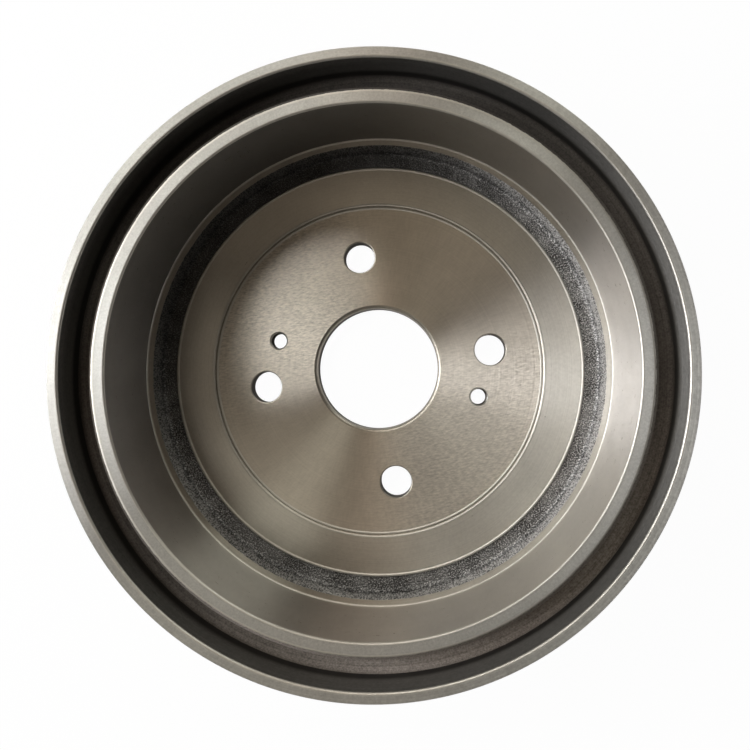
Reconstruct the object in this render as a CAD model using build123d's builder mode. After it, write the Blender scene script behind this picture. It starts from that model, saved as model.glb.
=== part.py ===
"""Brake drum of a small car: one grey-iron casting, turned and drilled, held by four wheel studs."""

import os

from build123d import *

# Millimetres. Z is the drum's axis. The face that the wheel bolts against lies on Z = 0,
# and the open mouth looks up. The first stud hole lies on +X.

# Hub plate
hub_thickness = 7.0
bore_radius = 26.5
bore_chamfer = 1.6
face_groove_inset = 17.1
face_groove_width = 2.4
face_groove_depth = 0.6
wheel_seat_radius = 70.0
wheel_seat_height = 0.8

# Stud holes, and the two tapped holes that take jack screws to push the drum off its hub
stud_count = 4
stud_circle_radius = 50.0
stud_hole_radius = 6.75
jack_count = 2
jack_circle_radius = 45.8
jack_start_angle = -25.0
jack_tap_radius = 3.32
jack_entry_radius = 4.1

# Friction wall
friction_radius = 100.0
friction_width = 39.4
shoulder_height = 15.7
shoulder_width = 2.8
wall_thickness = 6.6
mouth_chamfer = 1.1
end_face_width = 5.1
end_slope_height = 1.8

# As-cast trough between the hub's turned face and the shoulder
trough_width = 7.8
trough_depth = 1.2
trough_step_width = 0.9
trough_fillet = 4.0
trough_draft_width = 0.6

# Rim with the deep groove that the backing plate's edge runs in
rim_wall = 4.0
rim_rise = 5.3
rim_edge_chamfer = 0.75
groove_width = 8.6
groove_depth = 17.9
groove_draft_width = 0.5
flange_thickness = 4.5

# Cast corners and turned edge breaks
hub_corner_radius = 12.0
flange_fillet = 5.0
rim_corner_fillet = 2.0
groove_floor_fillet = 1.2
seat_fillet = 1.5
edge_break = 0.5
friction_root_fillet = 0.5

# Heights and radii that follow from the sizes above
ring_end = shoulder_height + friction_width
rim_face = ring_end + rim_rise
groove_floor = rim_face - groove_depth
flange_underside = groove_floor - flange_thickness
shoulder_radius = friction_radius - shoulder_width
inner_face_radius = shoulder_radius - trough_width
face_groove_radius = inner_face_radius - face_groove_inset
drum_radius = friction_radius + wall_thickness
groove_wall_radius = drum_radius + groove_width
rim_radius = groove_wall_radius + rim_wall
trough_floor = hub_thickness - trough_depth
end_face_radius = friction_radius + end_face_width
# A round nose that sinks to the groove's depth is as wide at the face as the groove's chord
groove_tool_radius = (face_groove_width**2 / 4 + face_groove_depth**2) / (2 * face_groove_depth)


def corner(radius, height, fillet_radius=0.0):
    """One corner of the drum's section: its place, and the arc that rounds it."""
    return (radius, height), fillet_radius


def ring_edges(part, radius, height):
    """The round edges of this radius that lie at this height."""
    circles = part.edges().filter_by(GeomType.CIRCLE)
    at_height = circles.filter_by(lambda edge: abs(edge.arc_center.Z - height) < 1e-4)
    return at_height.filter_by(lambda edge: abs(edge.radius - radius) < 1e-4)


# The section, from the bore's lower edge outwards, up the outside, and back down the inside.
outside = [
    corner(bore_radius, 0),
    corner(wheel_seat_radius, 0),
    corner(wheel_seat_radius + wheel_seat_height, wheel_seat_height, seat_fillet),
    corner(drum_radius, wheel_seat_height, hub_corner_radius),
    corner(drum_radius, flange_underside, flange_fillet),
    corner(rim_radius, flange_underside, rim_corner_fillet),
    corner(rim_radius, rim_face),
]
groove = [
    corner(groove_wall_radius, rim_face),
    corner(groove_wall_radius, groove_floor, groove_floor_fillet),
    corner(drum_radius + groove_draft_width, groove_floor, flange_fillet / 2),
    corner(drum_radius, ring_end - end_slope_height, edge_break),
    corner(end_face_radius, ring_end),
]
inside = [
    corner(friction_radius, ring_end),
    corner(friction_radius, shoulder_height, friction_root_fillet),
    corner(shoulder_radius, shoulder_height),
    corner(shoulder_radius - trough_draft_width, trough_floor, trough_fillet),
    corner(inner_face_radius + trough_step_width, trough_floor, trough_step_width / 2),
    corner(inner_face_radius, hub_thickness),
    corner(bore_radius, hub_thickness),
]
section = outside + groove + inside

with BuildPart() as brake_drum:
    with BuildSketch(Plane.XZ):
        with BuildLine():
            FilletPolyline(
                [point for point, _ in section],
                radius=[fillet_radius for _, fillet_radius in section],
                close=True,
            )
        make_face()
    revolve(axis=Axis.Z)

    # Shallow groove in the hub's inner face, cut by a round-nosed tool
    with BuildSketch(Plane.XZ):
        with Locations((face_groove_radius, hub_thickness - face_groove_depth + groove_tool_radius)):
            Circle(groove_tool_radius)
    revolve(axis=Axis.Z, mode=Mode.SUBTRACT)

    # Turned edges: each is named by its radius, its height and the width of its chamfer
    chamfer(ring_edges(brake_drum, bore_radius, hub_thickness), bore_chamfer)
    chamfer(ring_edges(brake_drum, bore_radius, 0), edge_break)
    chamfer(ring_edges(brake_drum, inner_face_radius, hub_thickness), edge_break)
    chamfer(ring_edges(brake_drum, friction_radius, ring_end), mouth_chamfer)
    chamfer(ring_edges(brake_drum, groove_wall_radius, rim_face), rim_edge_chamfer)
    chamfer(ring_edges(brake_drum, rim_radius, rim_face), edge_break)

    # Stud holes, with both edges broken
    with Locations(Plane.XY.offset(hub_thickness)):
        with PolarLocations(stud_circle_radius, stud_count):
            Hole(stud_hole_radius, depth=hub_thickness)
    chamfer(ring_edges(brake_drum, stud_hole_radius, hub_thickness), edge_break)
    chamfer(ring_edges(brake_drum, stud_hole_radius, 0), edge_break)

    # Jack screw holes, at tapping size, opened at both ends past the thread's crest
    with Locations(Plane.XY.offset(hub_thickness)):
        with PolarLocations(jack_circle_radius, jack_count, start_angle=jack_start_angle):
            Hole(jack_tap_radius, depth=hub_thickness)
    jack_chamfer = jack_entry_radius - jack_tap_radius
    chamfer(ring_edges(brake_drum, jack_tap_radius, hub_thickness), jack_chamfer)
    chamfer(ring_edges(brake_drum, jack_tap_radius, 0), jack_chamfer)

brake_drum.part.label = "brake_drum"

os.makedirs("parts", exist_ok=True)
export_step(brake_drum.part, "parts/brake_drum.step")
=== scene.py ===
import math

import bpy
import numpy as np
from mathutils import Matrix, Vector
from mathutils.geometry import delaunay_2d_cdt


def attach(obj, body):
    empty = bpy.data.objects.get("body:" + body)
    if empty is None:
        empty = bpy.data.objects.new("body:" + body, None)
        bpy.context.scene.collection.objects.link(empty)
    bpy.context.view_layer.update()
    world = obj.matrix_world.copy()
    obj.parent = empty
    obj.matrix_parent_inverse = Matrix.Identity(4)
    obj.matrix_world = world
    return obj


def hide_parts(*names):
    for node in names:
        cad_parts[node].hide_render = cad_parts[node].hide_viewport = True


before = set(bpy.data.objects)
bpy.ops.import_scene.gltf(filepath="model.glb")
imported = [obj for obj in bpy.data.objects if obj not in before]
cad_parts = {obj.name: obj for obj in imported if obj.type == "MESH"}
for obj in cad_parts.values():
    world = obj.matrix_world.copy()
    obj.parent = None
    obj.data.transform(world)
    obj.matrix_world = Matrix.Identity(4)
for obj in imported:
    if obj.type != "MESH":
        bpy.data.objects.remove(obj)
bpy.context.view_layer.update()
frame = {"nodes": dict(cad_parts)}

print("frame loaded:", ", ".join(frame["nodes"]))


# Camera, above the drum's mouth

view = {
    "place": (0.022299, -0.008363, 0.306081),   # metres
    "turn": (3.3523, 2.8551, -9.37),            # degrees about x, y and z
    "lens": 32.64,
    "sensor": 36.0,
    "shift": (-0.0291, -0.0478),
    "nearest": 0.01,
}

cameraData = bpy.data.cameras.new("camera")
cameraData.lens = view["lens"]
cameraData.sensor_width = view["sensor"]
cameraData.shift_x, cameraData.shift_y = view["shift"]
cameraData.clip_start = view["nearest"]
camera = bpy.data.objects.new("camera", cameraData)
camera.location = view["place"]
camera.rotation_euler = [math.radians(turn) for turn in view["turn"]]
bpy.context.scene.collection.objects.link(camera)
bpy.context.scene.camera = camera


# Casting: the drum's section turned about z into one closed mesh, with its holes. Sizes are
# in millimetres, and heights are counted up from the face that the wheel bolts against.

casting = {
    # hub plate and its holes
    "hubThickness": 7.0, "innerFace": 89.4, "boreRadius": 26.5, "boreChamfer": 1.6,
    "studCount": 4, "studCircle": 50.0, "studHole": 6.75,
    "jackCount": 2, "jackCircle": 45.8, "jackAngle": -25.0,
    "threadMinor": 3.32, "threadMajor": 4.0, "threadEntry": 4.1, "threadPitch": 1.25,
    "threadSteepness": 1.3, "threadRootFlat": 0.15,
    # turned line on the inner face between two low beads, and the lip at the face's edge
    "faceGroove": 72.3, "grooveDark": 0.3,
    "beadInner": 71.45, "beadOuter": 73.15, "beadWidth": 1.0, "beadHeight": 0.2,
    "lipHeight": 0.28, "lipRound": 0.7,
    # cast trough, shoulder and friction wall
    "troughFloor": 5.8, "troughStep": 0.9, "troughFillet": 1.8, "troughDraft": 0.6,
    "footHeight": 0.1, "footFillet": 0.05,
    "shoulder": 97.2, "shoulderHeight": 15.7, "rootFillet": 0.7,
    "friction": 100.0, "mouthChamfer": 0.8,
    # friction ring's end, its burr, and the sloping cast rest of it
    "ringEnd": 55.1, "ringOuter": 105.1, "ringBreak": 0.15,
    "burrWidth": 0.6, "burrHeight": 0.04, "burrInset": 0.2,
    "ringSlope": 1.8, "slopeStart": 0.5, "slopeShare": 0.35, "drumRadius": 106.6,
    # groove for the backing plate, and the rim outside it
    "grooveFloor": 42.5, "grooveWall": 115.2, "grooveDraft": 0.5, "grooveFillet": 1.2,
    "innerGrooveFillet": 2.5, "grooveSkinTop": 2.2,
    "rimRadius": 119.2, "rimFace": 60.4, "rimChamfer": 0.8, "rimOuterBreak": 0.2,
    # outside and seat
    "flangeUnder": 38.0, "flangeFillet": 5.0, "rimFillet": 2.0, "hubCorner": 12.0,
    "seatRadius": 70.0, "seatHeight": 0.8, "seatFillet": 1.5, "edgeBreak": 0.5,
    # columns round the axis, and the widths of the strips where their number doubles
    "coarse": 280, "middle": 560, "fine": 1120,
    "boreColumns": 180, "studColumns": 72, "jackColumns": 48, "threadRings": 10,
    "faceStrip": 10.0, "shoulderStrip": 0.9, "endStrip": 1.2,
    "arcTurn": 0.3,      # radians, the most that one step of a fillet turns
    # loose points that keep the hub's triangles from growing long
    "looseRings": (33.0, 39.0, 60.0, 65.5), "looseColumns": 60, "looseGap": 2.5,
}
skinRelief = {
    "heights": {"castTrough": 0.10, "grooveFloor": 0.02, "castOutside": 0.09},
    "steps": {"castTrough": 0.55, "grooveFloor": 1.2, "castOutside": 1.8},
    # size of each layer and how much it adds; the grain's peaks above a level add a little more
    "grain": 0.35, "lump": 1.3, "wave": 7.0,
    "grainShare": 0.55, "peakLevel": 1.2, "peakShare": 0.3, "lumpShare": 0.5, "waveShare": 0.4,
    "fade": 1.4,
    "toothSize": 0.2, "swaySize": 1.5, "swayShare": 0.5, "raggedDepth": 0.05,
    "seed": 41,
}
finishes = [
    "turned", "faced", "ends", "bored", "edges", "stained",
    "castTrough", "grooveFloor", "grooveWall", "drilled", "castOutside",
]
c = casting
random = np.random.default_rng(skinRelief["seed"])


def roundedPath(corners, step):
    # Corners are (radius, height, fillet). A fillet becomes the arc that touches both of its
    # sides; a fillet of 0 is a sharp corner, and None is a plain point on a straight stretch.
    # Each straight stretch is then cut into equal steps no longer than the given one.
    points, sharp = [], []
    for i, (radius, height, fillet) in enumerate(corners):
        here = np.array([radius, height], float)
        if not fillet:
            points.append(here)
            sharp.append(fillet == 0)
            continue
        before = np.array(corners[i - 1][:2]) - here
        after = np.array(corners[i + 1][:2]) - here
        before /= np.linalg.norm(before)
        after /= np.linalg.norm(after)
        half = math.acos(before @ after) / 2
        turn = math.pi - 2 * half
        middle = (before + after) / np.linalg.norm(before + after)
        centre = here + middle * fillet / math.sin(half)
        start = here + before * fillet / math.tan(half) - centre
        end = here + after * fillet / math.tan(half) - centre
        count = max(2, math.ceil(fillet * turn / step), math.ceil(turn / c["arcTurn"]))
        share = np.linspace(0, 1, count + 1)[:, None]
        arc = (np.sin((1 - share) * turn) * start + np.sin(share * turn) * end) / math.sin(turn)
        points.extend(centre + arc)
        sharp.extend([False] * (count + 1))
    path, marks = [points[0]], [sharp[0]]
    for a, b, mark in zip(points[:-1], points[1:], sharp[1:]):
        count = max(1, math.ceil(np.linalg.norm(b - a) / step - 1e-6))
        path.extend(a + np.linspace(0, 1, count + 1)[1:, None] * (b - a))
        marks.extend([False] * (count - 1) + [mark])
    return np.array(path), marks


def softNoise(rows, columns, rowStep, columnStep, size):
    # White noise smoothed by a bell curve of the given size in millimetres. It closes on
    # itself round the drum, and its spread is one.
    wave = np.fft.rfft2(random.standard_normal((rows, columns)))
    down = np.fft.fftfreq(rows, rowStep)[:, None]
    along = np.fft.rfftfreq(columns, columnStep)[None, :]
    wave *= np.exp(-2 * (math.pi * size) ** 2 * (down ** 2 + along ** 2))
    smooth = np.fft.irfft2(wave, (rows, columns))
    return smooth / smooth.std()


def castRelief(path, columns, start):
    # Sand-cast skin: fine grains with a few peaks, lumps of a few millimetres and a slow
    # waviness, added up and faded to nothing at both ends of the path.
    lengths = np.linalg.norm(np.diff(np.vstack([start, path]), axis=0), axis=1)
    rowStep = lengths.mean()
    columnStep = 2 * math.pi * path[:, 0].mean() / columns
    rows = len(path) * 2
    grain, lump, wave = [
        softNoise(rows, columns, rowStep, columnStep, skinRelief[layer])[:len(path)]
        for layer in ("grain", "lump", "wave")]
    peaks = np.maximum(grain - skinRelief["peakLevel"], 0)
    relief = skinRelief["grainShare"] * np.maximum(grain, -1) + skinRelief["peakShare"] * peaks
    relief = relief + skinRelief["lumpShare"] * lump + skinRelief["waveShare"] * wave
    travel = np.cumsum(lengths)
    fade = np.clip(np.minimum(travel, travel[-1] - travel) / skinRelief["fade"], 0, 1)
    return relief * (fade * fade * (3 - 2 * fade))[:, None]


def raggedEdge(radius, columns):
    # How far a turned face's edge strays in and out where it cuts through the cast skin: fine
    # teeth on a slower sway. Each is one row of a noise whose other row lies too far off to
    # matter.
    apart = 9.0
    spacing = 2 * math.pi * radius / columns
    teeth = softNoise(2, columns, apart, spacing, skinRelief["toothSize"])[0]
    sway = softNoise(2, columns, apart, spacing, skinRelief["swaySize"])[0]
    return (teeth + skinRelief["swayShare"] * sway) * skinRelief["raggedDepth"]


class Shell:
    # Gathers the vertices ring by ring, the faces between them, and what each is finished as
    def __init__(self):
        self.places, self.rings, self.faces, self.finish = [], [], [], []
        self.count = self.ringCount = 0

    def addPoints(self, places, sharp=False):
        self.ringCount += 1
        self.places.append(places)
        self.rings.append(np.full(len(places), self.ringCount if sharp else 0))
        self.count += len(places)
        return np.arange(self.count - len(places), self.count)

    def addFaces(self, faces, finish):
        self.faces.append(faces)
        self.finish.append(np.full(len(faces), finishes.index(finish)))

    def join(self, a, b, finish):
        # Rings of equal count are joined by four-sided faces. Where one ring has twice the
        # other's count, each of the coarse ring's steps takes three triangles.
        aNext, bNext = np.roll(a, -1), np.roll(b, -1)
        if len(a) == len(b):
            self.addFaces(np.stack([a, b, bNext, aNext], 1), finish)
        elif len(b) == 2 * len(a):
            even, odd = b[0::2], b[1::2]
            after = np.roll(even, -1)
            self.addFaces(np.concatenate([
                np.stack([a, even, odd], 1), np.stack([a, odd, aNext], 1),
                np.stack([aNext, odd, after], 1)]), finish)
        else:
            even, odd = a[0::2], a[1::2]
            after = np.roll(even, -1)
            self.addFaces(np.concatenate([
                np.stack([even, b, odd], 1), np.stack([b, bNext, odd], 1),
                np.stack([odd, bNext, after], 1)]), finish)


def ringPoints(radius, height, columns, centre=(0.0, 0.0)):
    # A circle of points, counted anticlockwise from +x
    turn = np.arange(columns) * 2 * math.pi / columns
    return np.stack([
        centre[0] + radius * np.cos(turn), centre[1] + radius * np.sin(turn),
        height + 0 * turn], 1)


def polarCentres(circle, count, start):
    turns = math.radians(start) + np.arange(count) * 2 * math.pi / count
    return np.stack([circle * np.cos(turns), circle * np.sin(turns)], 1)


def bead(centre, height, width, rise):
    # A low round ridge: one raised cosine wave across its width. Its end is marked sharp, like
    # its start, so that the flat faces beside it keep their own direction.
    path = []
    for share in np.linspace(0, 1, 7)[1:]:
        lift = rise * (1 - math.cos(2 * math.pi * share)) / 2
        path.append((centre + width * (share - 0.5), height + lift, None if share < 1 else 0))
    return path


def roundOver(start, end, bulge):
    # A quarter of an ellipse between two points, flat where it starts or upright, as bulge says
    (r0, z0), (r1, z1) = start, end
    path = []
    for share in (0.2, 0.4, 0.6, 0.8, 1.0):
        t, mark = share * math.pi / 2, None if share < 1 else 0
        if bulge == "flatStart":
            path.append((r0 + (r1 - r0) * math.sin(t), z1 + (z0 - z1) * math.cos(t), mark))
        else:
            path.append((r1 + (r0 - r1) * math.cos(t), z0 + (z1 - z0) * math.sin(t), mark))
    return path


def raisedLip(start, end, height, rise):
    # Half a cosine wave that swells from a flat face up to its edge
    return [
        (start + (end - start) * share, height + rise * (1 - math.cos(math.pi * share)) / 2, None)
        for share in (0.25, 0.5, 0.75, 1.0)]


shell = Shell()
top, brk = c["hubThickness"], c["edgeBreak"]
shoulderTop, ringTop, rimTop = c["shoulderHeight"], c["ringEnd"], c["rimFace"]
mouth, rimEdge, root = c["mouthChamfer"], c["rimChamfer"], c["rootFillet"]

halfBead = c["beadWidth"] / 2
faceEdge = c["beadInner"] - halfBead
innerBead = bead(c["beadInner"], top, c["beadWidth"], c["beadHeight"])
faceLine = [(c["faceGroove"], top - c["grooveDark"], 0), (c["beadOuter"] - halfBead, top, 0)]
outerBead = bead(c["beadOuter"], top, c["beadWidth"], c["beadHeight"])

lipStart, lipHigh = c["innerFace"] - c["lipRound"], (c["innerFace"], top + c["lipHeight"])
lipFoot = (c["innerFace"] + c["troughStep"], c["troughFloor"] + c["footHeight"])
lip = raisedLip(lipStart, c["innerFace"], top, c["lipHeight"]) + roundOver(lipHigh, lipFoot, "flatStart")

rootLow, rootHigh = (c["friction"] - root, shoulderTop), (c["friction"], shoulderTop + root)
mouthLow, mouthHigh = (c["friction"], ringTop - mouth), (c["friction"] + mouth, ringTop)
rimLow, rimHigh = (c["grooveWall"], rimTop - rimEdge), (c["grooveWall"] + rimEdge, rimTop)
burrStart = c["ringOuter"] - c["burrInset"] - c["burrWidth"]
burr = bead(burrStart + c["burrWidth"] / 2, ringTop, c["burrWidth"], c["burrHeight"])
shoulderCorner = (c["shoulder"], shoulderTop)
ringCorner = (c["ringOuter"], ringTop - c["ringBreak"])

# Zones of the section in order, from the hub's inner face outwards, up the friction wall,
# over the rim and down the outside: finish, columns, longest step and corners. A turned
# stretch is one step long.
oneStep, wallStep, castStep = 20, 8, skinRelief["steps"]
coarse, middle, fine = c["coarse"], c["middle"], c["fine"]
zones = [
    ("edges", coarse, oneStep, innerBead),
    ("stained", coarse, oneStep, faceLine),
    ("edges", coarse, oneStep, outerBead),
    ("turned", coarse, oneStep, [(c["innerFace"] - c["faceStrip"], top, None)]),
    ("turned", middle, oneStep, [(lipStart, top, 0)]),
    ("edges", middle, oneStep, lip),
    ("castTrough", fine, castStep["castTrough"], [
        (lipFoot[0] + c["footHeight"], c["troughFloor"], c["footFillet"]),
        (c["shoulder"] - c["troughDraft"], c["troughFloor"], c["troughFillet"]),
        (*shoulderCorner, 0)]),
    ("turned", middle, oneStep, [(c["shoulder"] + c["shoulderStrip"], shoulderTop, None)]),
    ("turned", coarse, oneStep, [(*rootLow, 0)]),
    ("edges", coarse, oneStep, roundOver(rootLow, rootHigh, "flatStart")),
    ("bored", coarse, wallStep, [(*mouthLow, 0)]),
    ("edges", coarse, oneStep, roundOver(mouthLow, mouthHigh, "uprightStart")),
    ("ends", coarse, oneStep, [(burrStart - c["endStrip"], ringTop, None)]),
    ("ends", middle, oneStep, [(burrStart, ringTop, 0)]),
    ("edges", middle, oneStep, burr),
    ("edges", fine, oneStep, [(*ringCorner, 0)]),
    ("grooveFloor", middle, castStep["grooveFloor"], [
        (c["ringOuter"] + c["slopeStart"], ringTop - c["ringSlope"] * c["slopeShare"], None)]),
    ("grooveFloor", coarse, castStep["grooveFloor"], [
        (c["drumRadius"], ringTop - c["ringSlope"], brk),
        (c["drumRadius"] + c["grooveDraft"], c["grooveFloor"], c["innerGrooveFillet"]),
        (c["grooveWall"], c["grooveFloor"], c["grooveFillet"]),
        (c["grooveWall"], c["grooveFloor"] + c["grooveSkinTop"], None)]),
    ("grooveWall", coarse, wallStep, [(*rimLow, 0)]),
    ("edges", coarse, oneStep, roundOver(rimLow, rimHigh, "uprightStart")),
    ("ends", coarse, oneStep, [
        (c["rimRadius"] - c["rimOuterBreak"], rimTop, 0),
        (c["rimRadius"], rimTop - c["rimOuterBreak"], 0)]),
    ("castOutside", coarse, castStep["castOutside"], [
        (c["rimRadius"], c["flangeUnder"], c["rimFillet"]),
        (c["drumRadius"], c["flangeUnder"], c["flangeFillet"]),
        (c["drumRadius"], c["seatHeight"], c["hubCorner"]),
        (c["seatRadius"] + c["seatHeight"], c["seatHeight"], c["seatFillet"]),
        (c["seatRadius"], 0.0, 0)]),
]

topEdge = shell.addPoints(ringPoints(faceEdge, top, coarse), sharp=True)
lastRing, lastCorner = topEdge, (faceEdge, top, 0)
for finish, columns, step, corners in zones:
    path, marks = roundedPath([lastCorner] + corners, step)
    slope = np.gradient(path, axis=0)
    normal = np.stack([-slope[:, 1], slope[:, 0]], 1)
    normal /= np.linalg.norm(normal, axis=1)[:, None]
    path, marks, normal = path[1:], marks[1:], normal[1:]
    push = np.zeros((len(path), columns, 2))
    if finish in skinRelief["heights"]:
        relief = castRelief(path, columns, np.array(lastCorner[:2])) * skinRelief["heights"][finish]
        push = relief[:, :, None] * normal[:, None, :]
    if corners[-1][:2] in (shoulderCorner, ringCorner):
        push[-1, :, 0] = raggedEdge(corners[-1][0], columns)
    for (radius, height), mark, shift in zip(path, marks, push):
        circle = ringPoints(radius + shift[:, 0], height + shift[:, 1], columns)
        ring = shell.addPoints(circle, sharp=mark)
        shell.join(lastRing, ring, finish)
        lastRing = ring
    lastCorner = corners[-1]
bottomEdge = lastRing


def plainHole(centre, columns, radius, edge):
    # A round hole's wall, walked from its lower edge up, so that its faces look inwards. The
    # lower edge is a small cone, and the upper one is rounded over the given distance.
    wall = [(radius + brk, 0, 0), (radius, brk, 0), (radius, top - edge, 0)]
    path = wall + roundOver((radius, top - edge), (radius + edge, top), "uprightStart")
    rings = [
        shell.addPoints(ringPoints(r, z, columns, centre), sharp=mark == 0) for r, z, mark in path]
    for i, (a, b) in enumerate(zip(rings[:-1], rings[1:])):
        shell.join(a, b, "drilled" if i < len(wall) - 1 else "stained")
    return rings[0], rings[-1]


def threadedHole(centre, columns):
    # The thread's radius swings between minor and major once per pitch and once per turn,
    # with a flat at its root and its crest; the entries are cones of 45 degrees.
    count = round(top / c["threadPitch"] * c["threadRings"]) + 1
    heights = np.linspace(0, top, count)[:, None]
    turn = np.arange(columns)[None, :] / columns
    swing = np.abs(2 * np.mod(heights / c["threadPitch"] - turn, 1) - 1)
    depth = np.clip(c["threadSteepness"] * swing - c["threadRootFlat"], 0, 1)
    radius = c["threadMinor"] + (c["threadMajor"] - c["threadMinor"]) * depth
    radius = np.maximum(radius, c["threadEntry"] - np.minimum(heights, top - heights))
    rings = []
    for height, row in zip(heights[:, 0], radius):
        atFace = height in (heights[0, 0], heights[-1, 0])
        rings.append(shell.addPoints(ringPoints(row, height, columns, centre), sharp=atFace))
    for a, b, height in zip(rings[:-1], rings[1:], heights[1:, 0]):
        entry = height > top - (c["threadEntry"] - c["threadMinor"])
        shell.join(a, b, "edges" if entry else "drilled")
    return rings[0], rings[-1]


# Each hole is its centre, its radius, and its lower and upper rings
bore = c["boreRadius"]
holes = [(np.zeros(2), bore, *plainHole((0, 0), c["boreColumns"], bore, c["boreChamfer"]))]
for centre in polarCentres(c["studCircle"], c["studCount"], 0):
    holes.append((centre, c["studHole"], *plainHole(centre, c["studColumns"], c["studHole"], brk)))
for centre in polarCentres(c["jackCircle"], c["jackCount"], c["jackAngle"]):
    holes.append((centre, c["threadMinor"], *threadedHole(centre, c["jackColumns"])))


def flatPlate(outer, holeRings, up, finish):
    # A flat face between its outer ring and the rings of its holes, cut into triangles
    places = np.concatenate(shell.places)
    rings = [outer] + holeRings
    ids = np.concatenate(rings)
    starts = np.cumsum([0] + [len(ring) for ring in rings])
    edges = [
        (int(start + j), int(start + (j + 1) % len(ring)))
        for start, ring in zip(starts, rings) for j in range(len(ring))]
    height = places[outer[0], 2]
    points = places[ids][:, :2]
    loose = np.concatenate([
        ringPoints(radius, height, c["looseColumns"]) for radius in c["looseRings"]])
    clear = np.ones(len(loose), bool)
    for centre, radius, *_ in holes[1:]:
        clear &= np.linalg.norm(loose[:, :2] - centre, axis=1) > radius + c["looseGap"]
    loose = loose[clear]
    ids = np.concatenate([ids, shell.addPoints(loose)])
    flat = [Vector(point) for point in np.concatenate([points, loose[:, :2]])]
    made = delaunay_2d_cdt(flat, edges, [], 0, 1e-6, True)
    corners = np.array([list(face) for face in made[2]])
    source = np.array([origin[0] for origin in made[3]])
    where = np.array([tuple(point) for point in made[0]])
    middle = where[corners].mean(axis=1)
    keep = np.ones(len(corners), bool)
    for (centre, *_), ring in zip(holes, holeRings):
        reach = np.linalg.norm(places[ring[0], :2] - centre) * math.cos(math.pi / len(ring))
        keep &= np.linalg.norm(middle - centre, axis=1) > reach
    triangles = ids[source[corners[keep]]]
    shell.addFaces(triangles if up else triangles[:, ::-1], finish)


flatPlate(topEdge, [hole[3] for hole in holes], True, "faced")
flatPlate(bottomEdge, [hole[2] for hole in holes], False, "faced")

places = np.concatenate(shell.places) / 1000
corners = np.concatenate([faces.reshape(-1) for faces in shell.faces])
sizes = np.concatenate([np.full(len(faces), faces.shape[1]) for faces in shell.faces])
starts = np.concatenate([[0], np.cumsum(sizes)[:-1]])
mesh = bpy.data.meshes.new("drumCasting")
mesh.vertices.add(len(places))
mesh.vertices.foreach_set("co", places.reshape(-1))
mesh.loops.add(len(corners))
mesh.loops.foreach_set("vertex_index", corners.astype(np.int32))
mesh.polygons.add(len(sizes))
mesh.polygons.foreach_set("loop_start", starts.astype(np.int32))
mesh.polygons.foreach_set("material_index", np.concatenate(shell.finish).astype(np.int32))
mesh.polygons.foreach_set("use_smooth", np.ones(len(sizes), bool))
mesh.update(calc_edges=True)

# An edge is sharp where both of its ends lie on the same sharp ring
ends = np.zeros(len(mesh.edges) * 2, np.int32)
mesh.edges.foreach_get("vertices", ends)
ringOf = np.concatenate(shell.rings)[ends.reshape(-1, 2)]
sharpEdges = (ringOf[:, 0] > 0) & (ringOf[:, 0] == ringOf[:, 1])
mesh.attributes.new("sharp_edge", "BOOLEAN", "EDGE").data.foreach_set("value", sharpEdges)
mesh.validate()

drum = bpy.data.objects.new("drumCasting", mesh)
bpy.context.scene.collection.objects.link(drum)
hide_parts("brake_drum")
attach(drum, "root")
print("casting:", len(places), "vertices,", int((sizes - 2).sum()), "triangles")


# Finishes

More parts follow.
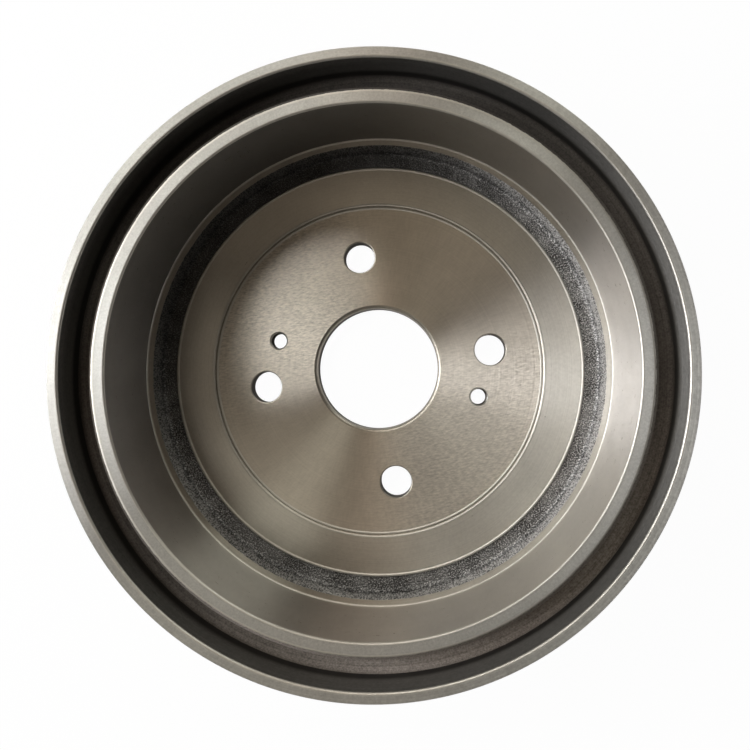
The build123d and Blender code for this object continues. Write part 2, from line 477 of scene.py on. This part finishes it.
class Nodes:
    # Short ways to add shader nodes to a material or a world. Each input is a number, a
    # colour or another node's output.
    def __init__(self, owner):
        owner.use_nodes = True
        self.owner = owner
        self.tree = owner.node_tree
        self.tree.nodes.clear()

    def add(self, kind, inputs=None, **settings):
        node = self.tree.nodes.new("ShaderNode" + kind)
        for key, value in settings.items():
            setattr(node, key, value)
        for key, value in (inputs or {}).items():
            if isinstance(value, bpy.types.NodeSocket):
                self.tree.links.new(value, node.inputs[key])
            else:
                node.inputs[key].default_value = value
        return node

    def plus(self, a, b, clamp=False):
        return self.add("Math", {0: a, 1: b}, operation="ADD", use_clamp=clamp).outputs[0]

    def times(self, a, b):
        return self.add("Math", {0: a, 1: b}, operation="MULTIPLY").outputs[0]

    def vector(self, operation, a, b=(0, 0, 0)):
        return self.add("VectorMath", {0: a, 1: b}, operation=operation).outputs[0]

    def scaled(self, a, share):
        return self.add("VectorMath", {0: a, 3: share}, operation="SCALE").outputs[0]

    def span(self, value, low, high, toLow=0.0, toHigh=1.0):
        inputs = {0: value, 1: low, 2: high, 3: toLow, 4: toHigh}
        return self.add("MapRange", inputs).outputs[0]

    def swing(self, value, low, high, depth):
        return self.span(value, low, high, -depth, depth)

    def noise(self, vector, scale, detail=2.0, roughness=0.5):
        inputs = {"Vector": vector, "Scale": scale, "Detail": detail, "Roughness": roughness}
        return self.add("TexNoise", inputs).outputs[0]

    def lines(self, along, scale, detail):
        inputs = {"W": along, "Scale": scale, "Detail": detail}
        return self.add("TexNoise", inputs, noise_dimensions="1D").outputs[0]

    def mix(self, share, a, b):
        return self.add("Mix", {0: share, 6: a, 7: b}, data_type="RGBA").outputs[2]

    def fixedColour(self, rgb):
        return self.add("CombineXYZ", dict(enumerate(rgb))).outputs[0]

    def length(self, vector):
        return self.add("VectorMath", {0: vector}, operation="LENGTH").outputs["Value"]

    def drumCoordinates(self):
        # Place in millimetres, distance from the axis, height, and the unit spoke from the
        # axis towards the place
        self.place = self.scaled(self.add("TexCoord").outputs["Object"], 1000.0)
        flat = self.vector("MULTIPLY", self.place, (1, 1, 0))
        self.radius = self.length(flat)
        self.spoke = self.vector("NORMALIZE", flat)
        self.height = self.add("SeparateXYZ", {0: self.place}).outputs[2]

    def leaning(self, value, paintedLightAndShade):
        # Each lean multiplies the value by a factor that goes from one level to another as
        # the spoke's share along a direction, in degrees from +x, goes from low to high. It is
        # painted light and shade: the finish drawn lighter or darker towards one side
        for azimuth, low, high, toLow, toHigh in paintedLightAndShade:
            turn = math.radians(azimuth)
            direction = {0: self.spoke, 1: (math.cos(turn), math.sin(turn), 0)}
            share = self.add("VectorMath", direction, operation="DOT_PRODUCT").outputs["Value"]
            value = self.times(value, self.span(share, low, high, toLow, toHigh))
        return value

    def finish(self, shader):
        self.add("OutputMaterial", {"Surface": shader.outputs[0]})
        drum.data.materials.append(self.owner)


def colour(rgb):
    return (*rgb, 1.0)


# base and rough are the metal's own colour and roughness, pull is the highlight's stretch, and
# metal is 1 where it isn't given. lines, grain and chatter say how much each changes the shade,
# drawn stretches the grain along x, uneven is what is left of it on the calm sides, the groove's
# painted shade is (depth of its upper and lower end below the rim's face, shade), the leans are
# painted light and shade towards one side, and bump is in metres.
machined = {
    "turned": {
        "base": (0.61, 0.59, 0.54), "rough": 0.34, "pull": 1.0, "lines": 0.05, "linesPerMm": 1.6,
        "grain": 0.06, "grainScale": 0.9, "chatter": 0.0, "bump": 0.000003,
    },
    "ends": {
        "base": (0.60, 0.595, 0.565), "metal": 0.86, "rough": 0.44, "pull": 0.9,
        "lines": 0.05, "linesPerMm": 1.6, "grain": 0.12, "grainScale": 1.2,
        # painted shade: darker towards -x, toning down the highlight there
        "chatter": 0.04, "bump": 0.000006, "paintedLightAndShade": [(180, 0.8, 1.0, 1.0, 0.82)],
    },
    "faced": {
        "base": (0.645, 0.60, 0.53), "rough": 0.36, "pull": 1.0, "lines": 0.04, "linesPerMm": 1.2,
        "grain": 0.36, "grainScale": 1.4, "drawn": 0.35, "uneven": 0.15,
        "chatter": 0.05, "bump": 0.00013,
    },
    "bored": {
        "base": (0.475, 0.457, 0.435), "rough": 0.33, "pull": 1.0,
        "lines": 0.05, "linesPerMm": 2.0, "grain": 0.03, "grainScale": 0.5,
        # painted shade: the friction wall darker towards +y, a little to -x
        "chatter": 0.03, "bump": 0.000003, "paintedLightAndShade": [(118, 0.2, 0.8, 1.0, 0.45)],
    },
    "edges": {
        "base": (0.70, 0.68, 0.63), "rough": 0.42, "pull": 0.5, "lines": 0.03, "linesPerMm": 1.6,
        "grain": 0.05, "grainScale": 0.9, "chatter": 0.0, "bump": 0.000002,
        # painted shade: the edges darker towards +x, toning down their highlights there
        "paintedLightAndShade": [(345, 0.2, 0.8, 1.0, 0.75)],
    },
    # a darker, browner turned iron for the face's line, the bore's rounded edge and the stud holes'
    # entries
    "stained": {
        "base": (0.45, 0.42, 0.37), "rough": 0.36, "pull": 0.6, "lines": 0.08, "linesPerMm": 1.6,
        "grain": 0.10, "grainScale": 0.9, "chatter": 0.0, "bump": 0.000004,
    },
    "grooveFloor": {
        "base": (0.13, 0.115, 0.103), "metal": 0.0, "rough": 0.65, "pull": 0.3,
        "lines": 0.18, "linesPerMm": 1.5, "grain": 0.45, "grainScale": 1.4,
        "chatter": 0.0, "bump": 0.00002,
        # painted light and shade: the groove's floor lighter towards -y and darker towards +y
        "paintedLightAndShade": [(283, 0.4, 0.95, 1.0, 2.6), (90, 0.3, 0.8, 1.0, 0.5)],
    },
    "grooveWall": {
        "base": (0.19, 0.185, 0.175), "metal": 0.75, "rough": 0.36, "pull": 0.8,
        "lines": 0.15, "linesPerMm": 1.2, "grain": 0.20, "grainScale": 0.9,
        # painted shade: the groove's wall darker low down
        "chatter": 0.0, "bump": 0.00001, "paintedDeepShade": (10.0, 12.5, 0.25),
        # painted light: the groove's wall lighter towards +x
        "paintedLightAndShade": [(0, 0.7, 1.0, 1.0, 1.9)],
    },
    # hole walls and threads: a dark base, which is painted shade inside the holes
    "drilled": {
        "base": (0.12, 0.108, 0.095), "rough": 0.42, "pull": 0.3, "lines": 0.15, "linesPerMm": 1.4,
        "grain": 0.15, "grainScale": 0.8, "chatter": 0.0, "bump": 0.00002,
    },
}
turning = {
    "patchScale": 0.09, "patchShade": 0.04,
    "chatterScale": 42.0, "chatterStray": 0.006,
    "grainRough": 0.05, "linesRough": 0.04,
    "linesBump": 0.5, "chatterBump": 10.0,
    "rippleSides": (-0.35, 0.3),        # x times y of the spoke, from full ripple to calm
    "rippleFade": (-0.5, 0.5), "rippleRight": 0.6,      # weaker ripple towards +x
    "quarterTurn": 0.25,    # sets the highlight's stretch across the turned lines
}


def machinedFinish(name):
    # Turned iron: fine rings about the axis, cloudy patches a centimetre across, a grain,
    # and chatter, which is a noise on the spoke's direction, so that it runs outwards.
    look, t = machined[name], turning
    n = Nodes(bpy.data.materials.new(name))
    n.drumCoordinates()
    lines = n.lines(n.plus(n.radius, n.height), look["linesPerMm"], 3.0)
    drawn = n.vector("MULTIPLY", n.place, (look.get("drawn", 1.0), 1.0, 1.0))
    grain = n.noise(drawn, look["grainScale"], 2.0, 0.6)
    ripple = 1.0
    if "uneven" in look:
        # Ripple in bump and shade, strongest on two opposite sides and weaker towards +x, the sides
        # where the highlights fall; what it adds to the shade is painted shading of that relief
        x, y, _ = n.add("SeparateXYZ", {0: n.spoke}).outputs
        ripple = n.span(n.times(x, y), *t["rippleSides"], 1.0, look["uneven"])
        ripple = n.times(ripple, n.span(x, *t["rippleFade"], 1.0, t["rippleRight"]))
    patch = n.noise(n.place, t["patchScale"])
    spokes = n.vector("ADD", n.spoke, n.scaled(n.place, t["chatterStray"]))
    chatter = n.noise(spokes, t["chatterScale"])
    grainAndPaintedRelief = n.times(n.swing(grain, 0.25, 0.75, look["grain"]), ripple)
    shade = n.plus(n.swing(lines, 0.25, 0.75, look["lines"]), grainAndPaintedRelief)
    shade = n.plus(shade, n.swing(patch, 0.3, 0.7, t["patchShade"]))
    shade = n.plus(shade, n.swing(chatter, 0.25, 0.75, look["chatter"]))
    shade = n.plus(shade, 1.0)
    if "paintedDeepShade" in look:
        # Painted shade deep in the groove: the wall darker low down, clear only near the rim's face
        clear, deep, dark = look["paintedDeepShade"]
        shade = n.times(shade, n.span(n.height, rimTop - deep, rimTop - clear, dark, 1.0))
    # painted light and shade: the finish drawn lighter or darker towards one side
    shade = n.leaning(shade, look.get("paintedLightAndShade", []))
    base = n.scaled(n.fixedColour(look["base"]), shade)
    smooth, rough = look["rough"] - t["linesRough"], look["rough"] + t["linesRough"]
    rough = n.plus(n.swing(grain, 0.2, 0.8, t["grainRough"]), n.span(lines, 0.2, 0.8, smooth, rough))
    height = n.plus(n.times(lines, t["linesBump"]), grain)
    height = n.plus(height, n.times(chatter, look["chatter"] * t["chatterBump"]))
    height = n.times(height, ripple)
    bump = n.add("Bump", {"Height": height, "Distance": look["bump"], "Strength": 1.0})
    tangent = n.add("Tangent", direction_type="RADIAL", axis="Z")
    shader = n.add("BsdfPrincipled", {
        "Base Color": base, "Metallic": look.get("metal", 1.0), "Roughness": rough,
        "Anisotropic": look["pull"], "Anisotropic Rotation": t["quarterTurn"],
        "Normal": bump.outputs[0], "Tangent": tangent.outputs[0]})
    n.finish(shader)


# sparkle is the level of the grain above which it glints, drawn stretches it along z, and
# the wall's painted light adds to it over a range of heights above the trough's floor.
castSkin = {
    "castTrough": {
        "dark": (0.025, 0.024, 0.023), "light": (0.66, 0.65, 0.64), "rough": 0.5,
        # painted light: lighter grains higher up the outer wall
        "sparkle": 0.54, "metal": 0.35, "grainScale": 1.7, "drawn": 0.4, "paintedWallLight": (1, 4, 0.09),
        # painted light and shade: the trough lighter towards +x and darker towards +y, a little to -x
        "paintedLightAndShade": [(0, 0.0, 0.9, 0.95, 1.4), (115, 0.0, 0.7, 1.0, 0.35)],
    },
    "castOutside": {
        "dark": (0.085, 0.08, 0.073), "light": (0.20, 0.19, 0.175), "rough": 0.55,
        "sparkle": 0.53, "metal": 0.55, "grainScale": 1.3, "drawn": 1.0,
    },
}
sand = {
    "glintWidth": 0.13, "glintShare": 0.85, "glintSmooth": 0.2,
    "cloudScale": 0.12, "cloudShare": (-0.05, 0.15),
    "pitScale": 2.2, "pitBump": 0.5, "bump": 0.00025,
}


def castFinish(name):
    # As-cast iron: dark skin with small lighter grains that glint, and slow clouds
    look, s = castSkin[name], sand
    n = Nodes(bpy.data.materials.new(name))
    n.drumCoordinates()
    drawn = n.vector("MULTIPLY", n.place, (1, 1, look["drawn"]))
    grain = n.noise(drawn, look["grainScale"], 3.0, 0.6)
    cloud = n.noise(n.place, s["cloudScale"])
    if "paintedWallLight" in look:
        # Painted light: more light grains higher up the trough's outer wall
        low, high, extra = look["paintedWallLight"]
        floorHeight = c["troughFloor"]
        grain = n.plus(grain, n.span(n.height, floorHeight + low, floorHeight + high, 0.0, extra))
    glint = n.span(grain, look["sparkle"] - s["glintWidth"], look["sparkle"] + s["glintWidth"])
    glint = n.times(glint, glint)
    clouds = n.span(cloud, 0.3, 0.7, *s["cloudShare"])
    share = n.plus(n.times(glint, s["glintShare"]), clouds, clamp=True)
    # painted light and shade: the skin drawn lighter or darker towards one side
    share = n.leaning(share, look.get("paintedLightAndShade", []))
    base = n.mix(share, colour(look["dark"]), colour(look["light"]))
    rough = n.span(glint, 0, 1, look["rough"], look["rough"] - s["glintSmooth"])
    pits = n.noise(n.place, s["pitScale"], 2.0, 0.6)
    height = n.plus(n.times(pits, s["pitBump"]), grain)
    bump = n.add("Bump", {"Height": height, "Distance": s["bump"], "Strength": 1.0})
    shader = n.add("BsdfPrincipled", {
        "Base Color": base, "Metallic": look["metal"], "Roughness": rough,
        "Normal": bump.outputs[0]})
    n.finish(shader)


for name in finishes:
    if name in machined:
        machinedFinish(name)
    else:
        castFinish(name)
print("finishes:", ", ".join(finishes))


# Floor, surroundings and lamps

studio = {
    "floorRadius": 8.0, "floorHeight": -0.0002, "floorColour": (0.8, 0.8, 0.8),
    "floorGlow": 0.975, "glowNear": 0.3, "glowFar": 1.6,
    "shadowInner": 0.11, "shadowOuter": 0.16, "shadowLeft": 0.1,
    "roomStrength": 0.012, "roomColour": (1.0, 0.97, 0.93),
    "horizon": 0.02, "horizonSoft": 0.06,
    "lampDistance": 0.9, "aimHeight": 0.03,
}
lamps = [
    # name, azimuth and tilt from the zenith in degrees, size in metres, watts, colour
    ("window", 165, 67, (0.29, 0.285), 3.78, (0.94, 0.95, 1)),
    ("windowLeft", 185, 63, (0.28, 0.415), 1.5, (1, 0.98, 1)),
    ("windowWide", 155, 48, (0.77, 0.315), 2.3, (0.99, 1, 0.94)),
    ("windowTop", 165, 47, (0.48, 0.095), 1.18, (1, 0.97, 0.95)),
    ("sill", 125, 41, (0.68, 0.095), 1.39, (1, 0.97, 0.94)),
    ("farSide", 110, 47, (0.61, 0.095), 0.792, (1, 0.98, 0.85)),
    ("farEdge", 85, 54, (0.26, 0.125), 0.378, (1, 0.82, 0.7)),
    ("right", 52, 64, (0.34, 0.22), 1.1, (0.98, 1, 0.91)),
    ("nearLeft", 210, 26, (0.29, 0.19), 0.25, (1, 0.92, 0.79)),
    ("near", 247, 30, (0.24, 0.19), 0.1, (1, 0.86, 0.72)),
    ("left", 170, 26, (0.29, 0.19), 0.11, (1, 0.87, 0.7)),
    ("top", 70, 26, (0.50, 0.34), 0.2, (1, 0.84, 0.62)),
    ("ceiling", 120, 10, (0.18, 0.315), 0.085, (1, 0.8, 0.6)),
]

side, level = studio["floorRadius"], studio["floorHeight"]
floorCorners = [(-side, -side, level), (side, -side, level), (side, side, level), (-side, side, level)]
floorMesh = bpy.data.meshes.new("floor")
floorMesh.from_pydata(floorCorners, [], [(0, 1, 2, 3)])
floor = bpy.data.objects.new("floor", floorMesh)
bpy.context.scene.collection.objects.link(floor)

white = colour((1, 1, 1))
n = Nodes(bpy.data.materials.new("paleFloor"))
rays = n.add("LightPath").outputs
fromAxis = n.length(n.add("TexCoord").outputs["Object"])
# Metal shows the pale floor too, but not under the drum, where the floor lies in its shadow
clear = n.span(fromAxis, studio["shadowInner"], studio["shadowOuter"], studio["shadowLeft"], 1.0)
glossy = n.times(rays["Is Glossy Ray"], clear)
seen = n.plus(n.plus(rays["Is Camera Ray"], glossy), rays["Is Transmission Ray"], clamp=True)
glow = n.add("Emission", {"Color": white, "Strength": 1.0})
matte = n.add("BsdfDiffuse", {"Color": colour(studio["floorColour"])})
share = n.span(fromAxis, studio["glowNear"], studio["glowFar"], studio["floorGlow"], 1.0)
mixed = n.add("MixShader", {0: n.times(seen, share), 1: matte.outputs[0], 2: glow.outputs[0]})
n.add("OutputMaterial", {"Surface": mixed.outputs[0]})
floorMesh.materials.append(n.owner)

# The background is white, but the drum is lit and mirrored by a dim room that is white only
# near the horizon
world = bpy.data.worlds.new("studio")
bpy.context.scene.world = world
n = Nodes(world)
rays = n.add("LightPath").outputs
upwards = n.add("SeparateXYZ", {0: n.add("TexCoord").outputs["Generated"]}).outputs[2]
lowDown = n.span(upwards, studio["horizon"], studio["horizon"] + studio["horizonSoft"], 1.0, 0.0)
bounced = n.times(n.plus(rays["Is Glossy Ray"], rays["Is Transmission Ray"]), lowDown)
shown = n.plus(rays["Is Camera Ray"], bounced, clamp=True)
room = n.add("Background", {
    "Color": colour(studio["roomColour"]), "Strength": studio["roomStrength"]})
pale = n.add("Background", {"Color": white, "Strength": 1.0})
mixed = n.add("MixShader", {0: shown, 1: room.outputs[0], 2: pale.outputs[0]})
n.add("OutputWorld", {"Surface": mixed.outputs[0]})

aim = Vector((0, 0, studio["aimHeight"]))
for name, azimuth, tilt, size, power, tint in lamps:
    data = bpy.data.lights.new(name, "AREA")
    data.shape = "RECTANGLE"
    data.size, data.size_y = size
    data.energy = power
    data.color = tint
    lamp = bpy.data.objects.new(name, data)
    around, down = math.radians(azimuth), math.radians(tilt)
    outwards = Vector((
        math.cos(around) * math.sin(down), math.sin(around) * math.sin(down), math.cos(down)))
    lamp.location = aim + outwards * studio["lampDistance"]
    lamp.rotation_euler = (-outwards).to_track_quat("-Z", "Y").to_euler()
    bpy.context.scene.collection.objects.link(lamp)

bpy.context.scene.view_settings.view_transform = "Standard"
print("studio ready")
